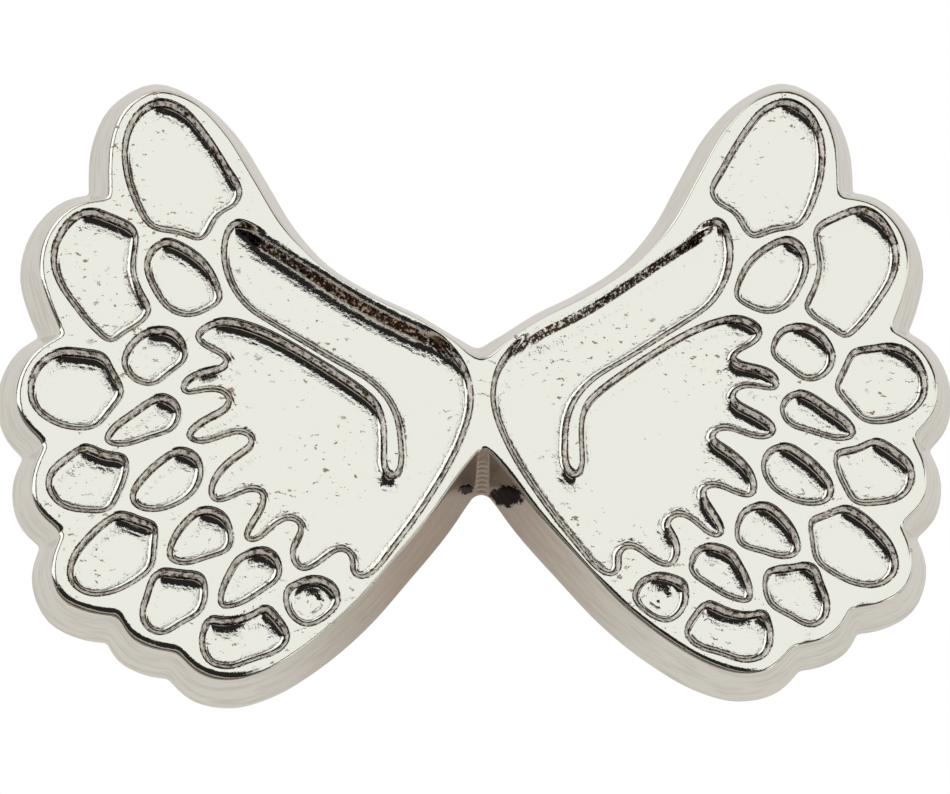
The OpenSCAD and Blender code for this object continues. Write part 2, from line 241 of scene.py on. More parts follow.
class MetalSettings(bpy.types.PropertyGroup):
    nickel: colour("Nickel", "Colour of the plated casting", (0.82, 0.82, 0.765))
    steel: colour("Steel", "Colour of the posts", (0.66, 0.65, 0.63))
    solder: colour("Solder", "Colour of the solder", (0.56, 0.56, 0.55))
    brass: colour("Brass", "Colour of the pressed clutch plates and domes", (0.83, 0.64, 0.33))
    spring: colour("Spring brass", "Colour of the spring wings", (0.78, 0.58, 0.29))


class StageSettings(bpy.types.PropertyGroup):
    floor: colour("Floor", "Colour of the floor", (0.86, 0.86, 0.86))
    floor_drop: length("Floor drop", "Depth of the floor under the badge's back centre", 90)
    lens: number("Lens", "Focal length of the camera, in millimetres", 134.6)
    distance: length("Distance", "Distance of the camera", 220)


# ---------------------------------------------------------------- outlines taken from the CAD casting
def plane_loops(node, y):
    """The closed outlines, in mm as [x, z], of the CAD node's flat face at that y, longest first."""
    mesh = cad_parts[node].data
    co = np.zeros(len(mesh.vertices) * 3)
    mesh.vertices.foreach_get("co", co)
    keys, spots, which = {}, [], []
    for spot in np.round(co.reshape(-1, 3) / MM, 3):
        key = tuple(spot)
        if key not in keys:
            keys[key] = len(spots)
            spots.append(spot)
        which.append(keys[key])
    mesh.calc_loop_triangles()
    # edges that one triangle of the face has and no neighbour shares
    edges = {}
    for tri in mesh.loop_triangles:
        a = [which[v] for v in tri.vertices]
        if all(abs(spots[v][1] - y) < FLAT for v in a) and len(set(a)) == 3:
            for edge in zip(a, a[1:] + a[:1]):
                if edge[::-1] in edges:
                    del edges[edge[::-1]]
                else:
                    edges[edge] = True
    follow = {}
    for a, b in edges:
        follow.setdefault(a, []).append(b)
    loops = []
    while follow:
        start = next(iter(follow))
        loop, here = [start], start
        while True:
            there = follow[here].pop()
            if not follow[here]:
                del follow[here]
            if there == start:
                break
            loop.append(there)
            here = there
        loops.append(np.array([[spots[v][0], spots[v][2]] for v in loop]))
    return sorted(loops, key=lambda l: -perimeter(l))


def perimeter(loop):
    return float(np.linalg.norm(np.roll(loop, -1, 0) - loop, axis=1).sum())


def area(loop):
    """Area inside a loop of points, positive where it runs anticlockwise."""
    n = np.roll(loop, -1, 0)
    return 0.5 * float((loop[:, 0] * n[:, 1] - n[:, 0] * loop[:, 1]).sum())


def tangents(loop):
    """Direction of travel at each point of a loop, made to run anticlockwise."""
    along = np.roll(loop, -1, 0) - np.roll(loop, 1, 0)
    along *= 1 if area(loop) > 0 else -1
    return along / np.maximum(np.linalg.norm(along, axis=1), 1e-9)[:, None]


def arm_opened(loop, reach=0.25):
    """The pocket's rim moved out along the arm, so that the wide wall starts beside the badge's edge."""
    along = tangents(loop)
    outward = np.stack([along[:, 1], -along[:, 0]], 1)
    return loop + reach * Relief.arm_share(loop)[:, None] * outward


def walk(points, count, closed=False):
    """That many points evenly spaced along a line of points."""
    if closed:
        points = np.vstack([points, points[:1]])
    reach = np.concatenate([[0], np.cumsum(np.linalg.norm(np.diff(points, axis=0), axis=1))])
    at = np.linspace(0, reach[-1], count, endpoint=not closed)
    return np.stack([np.interp(at, reach, points[:, k]) for k in range(2)], 1)


def corners(loop, angle=20.0):
    """Indices where the outline turns inwards sharply, for a loop that runs anticlockwise."""
    before, after = loop - np.roll(loop, 1, 0), np.roll(loop, -1, 0) - loop
    turn = before[:, 0] * after[:, 1] - before[:, 1] * after[:, 0]
    turn = np.degrees(np.arctan2(turn, (before * after).sum(1)))
    return [int(i) for i in np.nonzero(turn < -angle)[0]]


def rounded(points, amount, passes):
    """Closed line with its small corners eased."""
    for _ in range(passes):
        points = points + amount * (0.5 * (np.roll(points, 1, 0) + np.roll(points, -1, 0)) - points)
    return points


# ---------------------------------------------------------------- relief of the cast face
class Relief:
    """Height of the cast face over one wing, kept on a fine grid and blurred like a worn mould."""

    step = 0.04
    low = np.array([-1.2, -21.5])
    size = (790, 1062)
    x = low[0] + step * np.arange(size[0])[:, None]
    z = low[1] + step * np.arange(size[1])[None, :]

    def __init__(self, hollows, settings):
        self.near = np.full(self.size, 9.0)       # distance to a rim over the width of its wall
        self.far = np.full(self.size, 9.0)        # plain distance to a rim
        self.arm = np.zeros(self.size)            # how far the nearest wall is the arm's
        self.inside = np.zeros(self.size, bool)
        self.domes = np.zeros(self.size)
        wall, long_wall = (settings.wall + settings.cove) / MM, settings.long_wall / MM
        for loop in hollows:
            self.fill(loop)
            self.swell(loop)
            on_arm = self.arm_share(loop)
            # a wall that faces down is the full width, and any other a little narrower
            down = np.clip(-tangents(loop)[:, 0], 0, 1)
            usual = wall * (0.7 + 0.3 * running_mean(down, np.ones(7)))
            self.measure(loop, usual + (long_wall - usual) * on_arm, on_arm)
        self.shape(settings)
        self.slope = np.stack(np.gradient(self.height, self.step), -1)

    @staticmethod
    def arm_share(loop):
        """1 along the pocket's upper rim beside the arm, where the wall is wide, fading to 0 at its ends."""
        x, z = loop.T
        pocket = perimeter(loop) > 60
        above = z > 0.62 * x + 0.1
        ends = np.clip((x - 1.2) / 2.2, 0, 1) * np.clip((15.2 - x) / 2.2, 0, 1)
        return running_mean(ends * above * pocket, np.hanning(9))

    def swell(self, loop):
        """Low rings in the floor of the round hollow, and a low dome in its small neighbours."""
        x0, z0 = loop.mean(0)
        if perimeter(loop) > 18 or z0 > -11.5:
            return
        away = np.hypot(self.x - x0, self.z - z0)
        if perimeter(loop) < 11.5:
            self.domes += 0.06 * np.cos(math.tau * away / 0.8) * np.exp(-(away / 1.1) ** 2)
        else:
            self.domes += 0.06 * np.exp(-(away / 0.6) ** 2)

    def fill(self, loop):
        """Marks the inside of a hollow, a column of the grid at a time."""
        xs, zs = self.x[:, 0], self.z[0]
        nxt = np.roll(loop, -1, 0)
        for i, x in enumerate(xs):
            cut = (loop[:, 0] <= x) != (nxt[:, 0] <= x)
            if not cut.any():
                continue
            a, b = loop[cut], nxt[cut]
            z = np.sort(a[:, 1] + (x - a[:, 0]) * (b[:, 1] - a[:, 1]) / (b[:, 0] - a[:, 0]))
            for lo, hi in zip(z[::2], z[1::2]):
                self.inside[i, (zs > lo) & (zs < hi)] = True

    def measure(self, loop, widths, on_arm):
        """Measures the grid's distances from a rim, an edge of it at a time."""
        ends = zip(loop, np.roll(loop, -1, 0), widths, np.roll(widths, -1), on_arm, np.roll(on_arm, -1))
        for a, b, width_a, width_b, arm_a, arm_b in ends:
            reach = max(width_a, width_b) + 0.3
            lo = np.minimum(a, b) - reach
            hi = np.maximum(a, b) + reach
            i0, j0 = np.maximum(((lo - self.low) / self.step).astype(int), 0)
            i1, j1 = np.minimum(((hi - self.low) / self.step).astype(int) + 2, self.size)
            if i1 <= i0 or j1 <= j0:
                continue
            part = (slice(i0, i1), slice(j0, j1))
            x, z = self.x[i0:i1], self.z[:, j0:j1]
            d = b - a
            t = np.clip(((x - a[0]) * d[0] + (z - a[1]) * d[1]) / max(d @ d, 1e-12), 0, 1)
            away = np.hypot(x - a[0] - t * d[0], z - a[1] - t * d[1])
            share = away / (width_a + (width_b - width_a) * t)
            closer = share < self.near[part]
            self.near[part] = np.where(closer, share, self.near[part])
            self.arm[part] = np.where(closer, arm_a + (arm_b - arm_a) * t, self.arm[part])
            self.far[part] = np.minimum(self.far[part], away)

    def shape(self, settings):
        """Height, lumpy foot and steepness of the walls, from the distances to the rims; the steepness marks
        where painted reflections go, and on the arm it is a band along the wall.
        """
        wall, cove = settings.wall / MM, settings.cove / MM
        t = np.linspace(0, 1, 400)
        reach = t * (wall + cove)
        drop = np.clip(reach / wall, 0, 1)
        drop = drop ** 0.6 * (1 - drop) ** 1.2
        tail = np.clip((reach - 0.4 * wall) / (0.6 * wall + cove), 0, 1)
        tail = np.sin(math.pi * tail) ** 2
        short = np.cumsum(0.75 * drop / drop.sum() + 0.25 * tail / tail.sum())
        wide = np.cumsum(t * (1 - t))
        share = np.clip(np.where(self.inside, self.near, 0), 0, 1)
        fall = np.interp(share, t, short / short[-1])
        fall_wide = np.interp(share, t, wide / wide[-1])
        height = -RELIEF_DEPTH * (fall + (fall_wide - fall) * self.arm)
        height += self.domes
        self.height = blur(height, settings.softness / MM / self.step)

        foot = np.clip(1 - np.abs(self.near - 0.9) / (0.34 - 0.12 * self.arm), 0, 1)
        x, z = self.x, self.z
        palm_edge = np.clip(1.3 - np.abs(z + 1.1 + 1.49 * x), 0, 1)
        palm_edge = palm_edge * np.clip(x - 1.5, 0, 1) * np.clip(8 - x, 0, 1)
        foot = np.maximum(foot, palm_edge * np.clip(1.6 - self.near, 0, 1))
        foot += 0.6 * self.arm * np.clip(1 - np.abs(self.near - 0.22) / 0.16, 0, 1)
        self.foot = blur(np.where(self.inside, foot, 0), 1.5)

        steep = np.hypot(*np.gradient(self.height, self.step))
        # on the arm a band along the middle of the wall takes the steepness's place, so that a brown painted
        # reflection band with dark painted lines lies there
        crease = np.clip(1.6 - np.abs(self.near - 0.45) / 0.085, 0, 1) * np.where(self.inside, 0.6, 0)
        self.steep = np.clip((steep - 0.7) / 0.8, 0, 1) * (1 - self.arm) + crease * self.arm

    def sample(self, field, x, z):
        """Bilinear reading of a field at points; x may be on either wing."""
        u = np.clip((np.abs(x) - self.low[0]) / self.step, 0, self.size[0] - 1.001)
        v = np.clip((z - self.low[1]) / self.step, 0, self.size[1] - 1.001)
        i, j = u.astype(int), v.astype(int)
        fu, fv = u - i, v - j
        if field.ndim == 3:
            fu, fv = fu[:, None], fv[:, None]
        return (
            field[i, j] * (1 - fu) * (1 - fv) + field[i + 1, j] * fu * (1 - fv)
            + field[i, j + 1] * (1 - fu) * fv + field[i + 1, j + 1] * fu * fv
        )


def running_mean(values, kernel):
    """Weighted mean round a closed line, over as many points as the kernel has."""
    half = len(kernel) // 2
    padded = np.concatenate([values[-half:], values, values[:half]])
    return np.convolve(padded, kernel / kernel.sum(), "valid")


def blur(field, sigma):
    """Gaussian blur, a row at a time."""
    reach = int(3 * sigma) + 1
    kernel = np.exp(-0.5 * (np.arange(-reach, reach + 1) / sigma) ** 2)
    kernel /= kernel.sum()
    for axis in (0, 1):
        padded = np.pad(field, [(reach, reach) if k == axis else (0, 0) for k in (0, 1)], mode="edge")
        total = 0
        for k, weight in enumerate(kernel):
            part = [slice(None), slice(None)]
            part[axis] = slice(k, k + field.shape[axis])
            total = total + weight * padded[tuple(part)]
        field = total
    return field


def waves(x, z, seed, scale, count=14):
    """Slopes along x and z of slow irregular waves about 1 high."""
    draw = np.random.default_rng(seed)
    sx, sz = np.zeros_like(x), np.zeros_like(x)
    for _ in range(count):
        angle = draw.uniform(0, math.tau)
        pitch = draw.uniform(0.6, 1.6) * scale
        phase = draw.uniform(0, math.tau)
        kx, kz = math.tau / pitch * math.cos(angle), math.tau / pitch * math.sin(angle)
        turn = kx * x + kz * z + phase
        sx += kx * np.cos(turn) / count ** 0.5
        sz += kz * np.cos(turn) / count ** 0.5
    return sx, sz


# distances from a rim, in mm, at which the face has rings of points: outside it, down its wall, and
# farther in where the wall is the arm's
WALL_RINGS = [-0.3, -0.17, -0.08, -0.02, 0.04, 0.1, 0.17, 0.25, 0.34, 0.44, 0.56, 0.7, 0.88, 1.15, 1.5]
ARM_RINGS = [1.35, 1.55, 1.75, 1.95, 2.15, 2.4]


def wing_points(hollows, relief):
    """Points over one wing's face in rings along every rim, close together on the walls."""
    found = []
    for loop in hollows:
        fine = walk(loop, int(perimeter(loop) / 0.15), True)
        along = tangents(fine)
        inward = np.stack([-along[:, 1], along[:, 0]], 1)
        share = Relief.arm_share(fine)
        for off in WALL_RINGS + ARM_RINGS:
            p = fine + inward * off
            if off in ARM_RINGS:
                p = p[share > 0.3]
            away = relief.sample(relief.far, p[:, 0], p[:, 1])
            held = relief.sample(relief.inside.astype(float), p[:, 0], p[:, 1]) > 0.5
            keep = (np.abs(away - abs(off)) < 0.035) & ((held == (off > 0)) | (abs(off) < 0.05))
            found.append(p[keep][::2 if off > 0.5 else 1])
    return found


def inside_mask(points, loop):
    x, z = points.T
    nxt = np.roll(loop, -1, 0)
    odd = np.zeros(len(points), bool)
    for a, b in zip(loop, nxt):
        if a[1] == b[1]:
            continue
        cross = (a[1] > z) != (b[1] > z)
        odd ^= cross & (x < (b[0] - a[0]) * (z - a[1]) / (b[1] - a[1]) + a[0])
    return odd


def thin_out(points, gap):
    """Points with any that come within the gap of an earlier one left out."""
    cell = np.floor(points / gap).astype(int)
    taken, kept = {}, []
    for i, (c, p) in enumerate(zip(map(tuple, cell), points)):
        crowded = False
        for dx in (-1, 0, 1):
            for dz in (-1, 0, 1):
                for q in taken.get((c[0] + dx, c[1] + dz), ()):
                    if (p[0] - q[0]) ** 2 + (p[1] - q[1]) ** 2 < gap * gap:
                        crowded = True
        if not crowded:
            taken.setdefault(c, []).append(p)
            kept.append(i)
    return points[kept]


def triangles_over(boundary, points, holes=()):
    """Delaunay triangles inside a boundary loop: (points, triangles), the boundary's points first."""
    count = len(boundary)
    every = [Vector(p) for p in np.vstack([boundary, *holes, points])]
    edges = [(i, (i + 1) % count) for i in range(count)]
    start = count
    for hole in holes:
        edges += [(start + i, start + (i + 1) % len(hole)) for i in range(len(hole))]
        start += len(hole)
    spots, _, faces, _, _, _ = geometry.delaunay_2d_cdt(every, edges, [], 0, 1e-7)
    spots = np.array([(p.x, p.y) for p in spots])
    faces = np.array(faces)
    middle = spots[faces].mean(1)
    keep = inside_mask(middle, boundary)
    for hole in holes:
        keep &= ~inside_mask(middle, hole)
    return spots, faces[keep]


def build_mesh(name, points, faces):
    mesh = bpy.data.meshes.new(name)
    mesh.from_pydata([tuple(p) for p in points], [], [tuple(int(v) for v in f) for f in faces])
    mesh.update()
    mesh.validate()
    for poly in mesh.polygons:
        poly.use_smooth = True
    obj = bpy.data.objects.new(name, mesh)
    bpy.context.scene.collection.objects.link(obj)
    return obj


def strip_faces(first, second, count):
    """Quads between two closed rings of vertices that start at those indices."""
    i = np.arange(count)
    j = (i + 1) % count
    return np.stack([first + i, first + j, second + j, second + i], 1)


def fill_fork(rings, face_line, settings):
    """The side wall's rings with the sharp fork under the neck filled by a ribbed fillet."""
    count = len(face_line)
    fork = int(np.argmin(np.abs(face_line[:, 0]) + UPPER * (face_line[:, 1] > FORK_TOP)))
    away = np.abs((np.arange(count) - fork + count // 2) % count - count // 2) * OUTLINE_GAP
    filled = []
    for ring in rings:
        depth = CASTING_T + ring[fork, 1]
        spread = 0.45 + 0.2 * depth / CASTING_T
        weight = (np.exp(-(away / spread) ** 4) * min(1.0, 0.25 + depth))[:, None]
        for _ in range(int(22 + 26 * depth / CASTING_T)):
            ring = ring + 0.8 * weight * (0.5 * (np.roll(ring, 1, 0) + np.roll(ring, -1, 0)) - ring)
        turn = math.tau * depth / (settings.rib_pitch / MM)
        rib = settings.rib_height / MM * math.sin(turn) * np.exp(-(away / 0.32) ** 2)
        ring = ring - np.stack([0 * rib, 0 * rib, rib], 1) * min(1.0, depth)
        filled.append(ring)
    return filled


def lobes(loop):
    """The outline cut at its inward corners into lobes, in order from the fork under the neck."""
    found = corners(loop)
    fork = min(found, key=lambda i: abs(loop[i][0]) + UPPER * (loop[i][1] > FORK_TOP))
    cuts = sorted((i - fork) % len(loop) for i in found) + [len(loop)]
    whole = np.roll(loop, -fork, 0)
    whole = np.vstack([whole, whole[:1]])
    return [whole[a:b + 1] for a, b in zip(cuts, cuts[1:])]


def matched_outlines(outer, back_outer):
    """Front and back outlines with as many points each, matched lobe by lobe."""
    fronts, backs = [], []
    for front, back in zip(lobes(outer), lobes(back_outer), strict=True):
        count = max(int(np.linalg.norm(np.diff(back, axis=0), axis=1).sum() / OUTLINE_GAP), 8)
        fronts.append(walk(front, count + 1)[:-1])
        backs.append(walk(back, count + 1)[:-1])
    return rounded(np.vstack(fronts), EASE, 14), rounded(np.vstack(backs), EASE, 2)


def round_edge(a, corner, b, steps):
    """Rings that curve from ring a to ring b round the corner between them, without a itself."""
    return [(1 - t) ** 2 * a + 2 * t * (1 - t) * corner + t * t * b for t in np.linspace(0, 1, steps + 1)[1:]]


def side_rings(front, back, relief, settings):
    """The line where the flat face ends, the ways outward from it, and the rings of the side wall."""
    total = len(front)
    out = back - front
    way = out / np.maximum(np.linalg.norm(out, axis=1)[:, None], 1e-9)
    # the front edge is rounded less where a hollow's rim is close, and at the fork
    radius = np.clip(relief.sample(relief.far, front[:, 0], front[:, 1]) - 0.03, 0.14, settings.edge_round / MM)
    radius = np.minimum(radius, np.minimum(np.roll(radius, 4), np.roll(radius, -4)))
    radius = rounded(radius, 0.8, 30)[:, None]
    radius = radius * (1 - 0.65 * np.exp(-(np.hypot(front[:, :1], front[:, 1:] + 4.5) / 1.2) ** 2))
    edge = front - way * radius
    face_y = -CASTING_T - relief.sample(relief.height, edge[:, 0], edge[:, 1])
    run = np.stack([out[:, 0], np.full(total, CASTING_T), out[:, 1]], 1)
    run /= np.linalg.norm(run, axis=1)[:, None]
    corner = np.stack([front[:, 0], np.full(total, -CASTING_T), front[:, 1]], 1)
    heel = np.stack([back[:, 0], np.zeros(total), back[:, 1]], 1)
    top = corner + run * np.minimum(radius, 0.34)
    foot = heel - run * settings.back_round / MM
    inset = heel - np.stack([way[:, 0], np.zeros(total), way[:, 1]], 1) * settings.back_round / MM
    rings = round_edge(np.stack([edge[:, 0], face_y, edge[:, 1]], 1), corner, top, EDGE_STEPS)
    rings += [top + (foot - top) * t for t in np.linspace(0, 1, WALL_STEPS + 1)[1:]]
    rings += round_edge(foot, heel, inset, 4)
    return edge, way, fill_fork(rings, front, settings)


def face_points(edge, way, hollows, relief):
    """Points inside the face's edge, close together at the walls and sparse on the flats."""
    found = [edge]
    found += [(edge - way * off)[::every] for off, every in ((0.1, 1), (0.25, 2), (0.5, 2))]
    for ring in wing_points(hollows, relief):
        found += [ring, ring * [-1, 1]]
    grid = np.mgrid[-29:29:0.5, -19:19:0.5].reshape(2, -1).T
    found.append(grid + 0.12 * np.random.default_rng(3).uniform(-1, 1, grid.shape))
    points = thin_out(np.vstack(found), POINT_GAP)
    points = points[inside_mask(points, edge)]
    points = thin_out(np.vstack([edge, points]), POINT_GAP)
    return points[len(thin_out(edge, POINT_GAP)):]


def back_and_seats(ring, seats, first, count):
    """New vertices and faces of the flat back, inside the last ring, and of its two round seats."""
    line = ring[:, [0, 2]]
    total = len(line)
    grid = np.mgrid[-29:29:1.5, -19:19:1.5].reshape(2, -1).T
    grid = grid[inside_mask(grid, line)]
    for seat in seats:
        grid = grid[np.linalg.norm(grid - seat.mean(0), axis=1) > 2.5]
    spots, faces = triangles_over(line, grid, seats)
    index = np.arange(len(spots)) - total + count
    index[:total] = first + np.arange(total)
    new = spots[total:]
    vertices = [np.stack([new[:, 0], np.zeros(len(new)), new[:, 1]], 1)]
    walls, floors = [], []
    at, base = total, count + len(new)
    for seat in seats:
        rim = index[at:at + len(seat)]
        lower = base + np.arange(len(seat))
        deep = np.stack([seat[:, 0], np.full(len(seat), -SEAT_DEPTH), seat[:, 1]], 1)
        vertices += [deep, deep.mean(0)[None]]
        walls.append(np.stack([rim, np.roll(rim, -1), np.roll(lower, -1), lower], 1)[:, ::-1])
        floors.append(np.stack([lower, np.roll(lower, -1), np.full(len(seat), base + len(seat))], 1)[:, ::-1])
        at += len(seat)
        base += len(seat) + 1
    return vertices, [index[faces][:, ::-1], *walls, *floors]


def cast_wings(settings):
    """The casting seen in the scene, built on the CAD casting's own outlines, hollows and seats."""
    front = plane_loops(CASTING, -CASTING_T)
    back = plane_loops(CASTING, 0.0)
    outer, back_outer = (l if area(l) > 0 else l[::-1] for l in (front[0], back[0]))
    seats = [walk(l if area(l) > 0 else l[::-1], 96, True) for l in back[1:] if perimeter(l) > 5]
    hollows = [l for l in front[1:] if l[:, 0].mean() > 0]
    hollows = [arm_opened(rounded(walk(l, int(perimeter(l) / RIM_GAP), True), EASE, 12)) for l in hollows]
    relief = Relief(hollows, settings)
    face_line, back_line = matched_outlines(outer, back_outer)
    edge, way, rings = side_rings(face_line, back_line, relief, settings)

    spots, faces = triangles_over(edge, face_points(edge, way, hollows, relief))
    x, z = spots.T
    slope = relief.sample(relief.slope, x, z)
    slope[:, 0] *= np.where(x < 0, -1, 1)
    wave_x, wave_z = waves(x, z, 5, 5.0)
    lean_x, lean_z = slope[:, 0] + settings.wave / MM * wave_x, slope[:, 1] + settings.wave / MM * wave_z
    normals = np.stack([-lean_x, -np.ones_like(x), -lean_z], 1)
    normals /= np.linalg.norm(normals, axis=1)[:, None]
    face = np.stack([x, -CASTING_T - relief.sample(relief.height, x, z), z], 1)

    total, start = len(edge), len(face)
    firsts = [0] + [start + k * total for k in range(len(rings))]    # the edge's points come first
    sides = [strip_faces(a, b, total)[:, ::-1] for a, b in zip(firsts, firsts[1:])]
    vertices = np.vstack([face, *rings])
    new, back_faces = back_and_seats(rings[-1], seats, firsts[-1], len(vertices))
    vertices = np.vstack([vertices, *new])
    obj = build_mesh("casting", vertices * MM, [f for group in [faces, *sides, *back_faces] for f in group])
    mesh = obj.data
    own = np.zeros(len(mesh.vertices) * 3)
    mesh.vertex_normals.foreach_get("vector", own)
    own = own.reshape(-1, 3)
    own[:start] = normals
    mesh.normals_split_custom_set_from_vertices([tuple(n) for n in own])

    foot, steep, wall = np.zeros(len(own)), np.zeros(len(own)), np.ones(len(own))
    foot[:start] = relief.sample(relief.foot, x, z)
    steep[:start] = relief.sample(relief.steep, x, z)
    wall[:start] = 0.0
    wall[start:start + EDGE_STEPS * total] = np.repeat(np.clip((np.arange(EDGE_STEPS) - 4) / 5, 0, 1), total)
    wall[firsts[-2]:] = 0.0
    # steep tells the plate's shader where to paint its reflection bands, dark lines and highlights
    for name, values in (("foot", foot), ("steep", steep), ("wall", wall)):
        mesh.attributes.new(name, "FLOAT", "POINT").data.foreach_set("value", values)
    return obj


# ---------------------------------------------------------------- finishes
def nickel_finish(metals):
    """Bright plate: small lumps at the foot of the walls, pits on the flats, painted reflections on the
    hollows' walls, and painted shade and black painted reflections in the fork.
    """
    pit_brown, streak_grey = (0.30, 0.21, 0.16), (0.55, 0.52, 0.48)
    # painted colours: brown reflection bands, dark lines and a white highlight for the hollows' walls, then
    # painted shade browns and a painted black reflection near the fork
    reflection_brown, dark_line_brown, bright = (0.3, 0.225, 0.175), (0.045, 0.028, 0.02), (0.95, 0.93, 0.89)
    fork_shade_brown, neck_shade_brown, reflected_black = (0.4, 0.32, 0.255), (0.13, 0.09, 0.065), (0.008, 0.004, 0.003)
    material, r = new_material("bright_nickel_plate")
    spot = r.place()
    foot, steep, wall = r.stored("foot"), r.stored("steep"), r.stored("wall")
    x, y, z = r.split(spot)

    # heights, in millimetres
    peel = r.noise(spot, 1.1, 3.0, 0.55) * 0.010
    ripple = r.noise(spot, 3.0, 2.0, 0.6) * 0.006
    lumps = r.noise(spot, 2.8, 3.5, 0.62) * foot * 0.07
    flow = r.noise(r.stretched(spot, 0.3, 2.6, 0.3), 1.3, 3.0, 0.6)

    # pits in a few patches of the flats
    spread = r.noise(spot, 0.22, 1.0)
    wander = r.noise(spot, 1.8, 3.0, 0.7, output=1)
    bent = r.add("ShaderNodeVectorMath", {"operation": "ADD"}, {0: r.stretched(spot, 1.0, 1.0, 2.0), 1: wander})
    pit = r.step(r.noise(bent, 1.7, 3.0, 0.6), 0.644, 0.658) * r.step(spread, 0.48, 0.58) * (1 - wall)
    tone = r.mix(pit, metals.nickel, pit_brown)
    tone = r.mix(wall * r.step(flow, 0.4, 0.7) * 0.4, tone, streak_grey)

    # painted reflections on the steep walls of the hollows: brown bands, dark painted lines at their edges and
    # white painted highlights in their middles
    fleck = r.noise(spot, 2.6, 3.0, 0.6)
    grain = r.noise(spot, 4.2, 3.0, 0.7)
    edges = r.step(steep, 0.02, 0.16) * (1 - r.step(steep, 0.75, 1.0)) * r.step(grain, 0.4, 0.48)
    highlight_patches = r.step(steep, 0.6, 0.95) * r.step(fleck, 0.38, 0.55)
    tone = r.mix(steep * 0.75, tone, reflection_brown)
    tone = r.mix(edges, tone, dark_line_brown)
    tone = r.mix(highlight_patches, tone, bright)

    # painted shade on the side wall near the fork under the neck, darker just under the neck, with two black
    # patches of painted reflection
    drop = z - 0.25 * y
    shade = wall * r.step(z, -3.0, -4.6) * r.step(abs(x + 1.6), 14.0, 1.0) * (0.82 + 0.3 * flow)
    tone = r.mix(shade, tone, fork_shade_brown)
    # a darker painted shade just under the neck
    under = wall * r.step(drop, -7.2, -6.3) * r.step(abs(x), 0.3, 0.5) * r.step(abs(x), 4.0, 2.2)
    tone = r.mix(under * r.step(z, -4.0, -4.6) * 0.55, tone, neck_shade_brown)
    # a large and a small patch of painted black reflection on the wall by the fork
    reflection_blob = ((x - 1.5) / 0.95) ** 2.0 + ((drop + 7.0) / 0.72) ** 2.0 + (fleck - 0.5) * 2.2
    reflection_spot = ((x + 1.0) / 0.5) ** 2.0 + ((drop + 6.55) / 0.34) ** 2.0 + (fleck - 0.5) * 3.0
    dark_reflection = wall * r.step(z, -4.0, -5.0) * r.step(reflection_blob.math("MINIMUM", reflection_blob, reflection_spot), 1.15, 0.7)
    tone = r.mix(dark_reflection, tone, reflected_black)

    rough = 0.05 + 0.04 * r.noise(spot, 0.8, 2.0) + 0.06 * wall
    # the painted shade near the fork is made less metallic so that its painted brown shows, and the painted
    # highlights almost not metallic so that they stay white
    metal = 1.0 - 0.65 * wall * r.step(z, -3.0, -4.6) * r.step(abs(x), 4.0, 1.5) * (1 - dark_reflection) - 0.8 * highlight_patches
    height = peel + ripple + lumps - pit * 0.02 + wall * flow * 0.008
    r.surface(tone, rough, height, metallic=metal)
    return material


def steel_finish(metals):
    """Drawn steel, with lines along its length."""
    material, r = new_material("drawn_steel")
    spot = r.place()
    lines = r.noise(r.stretched(spot, 9.0, 0.4, 9.0), 2.0, 3.0, 0.6)
    r.surface(r.mix(lines, metals.steel, tuple(0.8 * c for c in metals.steel)), 0.2 + 0.2 * lines, lines * 0.01)
    return material


def solder_finish(metals):
    """Dull grey solder, slightly lumpy."""
    material, r = new_material("dull_solder")
    spot = r.place()
    lumps = r.noise(spot, 2.2, 4.0, 0.6)
    r.surface(r.mix(lumps, metals.solder, (0.36, 0.35, 0.34)), 0.3 + 0.25 * lumps, lumps * 0.08)
    return material


def brass_finish(name, tint):
    """Pressed brass with a fine grain and darker stains."""
    stained = (0.52, 0.35, 0.16)
    material, r = new_material(name)
    spot = r.place()
    grain = r.noise(r.stretched(spot, 6.0, 1.0, 0.6), 1.6, 3.0, 0.6)
    stain = r.noise(spot, 0.5, 3.0, 0.6)
    tone = r.mix(r.step(stain, 0.45, 0.75), tint, stained)
    r.surface(tone, 0.14 + 0.22 * stain, grain * 0.006)
    return material


def give(node, material):
    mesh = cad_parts[node].data
    mesh.materials.clear()
    mesh.materials.append(material)


# ---------------------------------------------------------------- operators
class BADGE_OT_cast_wings(bpy.types.Operator):
    """Casts and plates the wings, hollow by hollow, from the CAD casting's own outlines"""

    bl_idname = "badge.cast_wings"
    bl_label = "Cast the wings"

    def execute(self, context):
        casting = cast_wings(context.scene.badge_casting)
        casting.data.materials.append(nickel_finish(context.scene.badge_metals))
        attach(casting, "badge")
        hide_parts(CASTING)
        return {"FINISHED"}


class BADGE_OT_fit_posts(bpy.types.Operator):
    """Finishes the nail posts and the solder round their heads"""

    bl_idname = "badge.fit_posts"
    bl_label = "Fit the posts"

    def execute(self, context):
        steel = steel_finish(context.scene.badge_metals)
        solder = solder_finish(context.scene.badge_metals)
        for side in SIDES:
            give(side + "_post", steel)
            give(side + "_solder", solder)
        return {"FINISHED"}


class BADGE_OT_fit_clutches(bpy.types.Operator):
    """Finishes the butterfly clutches: plates, domes and spring wings"""

    bl_idname = "badge.fit_clutches"
    bl_label = "Fit the clutches"

    def execute(self, context):
        metals = context.scene.badge_metals
        brass = brass_finish("pressed_brass", metals.brass)
        spring = brass_finish("spring_brass", metals.spring)
        for side in SIDES:
            give(side + "_clutch_plate", brass)
            give(side + "_clutch_dome", brass)
            for wing in ("inner", "outer"):
                give(f"{side}_clutch_{wing}_wing", spring)
        return {"FINISHED"}


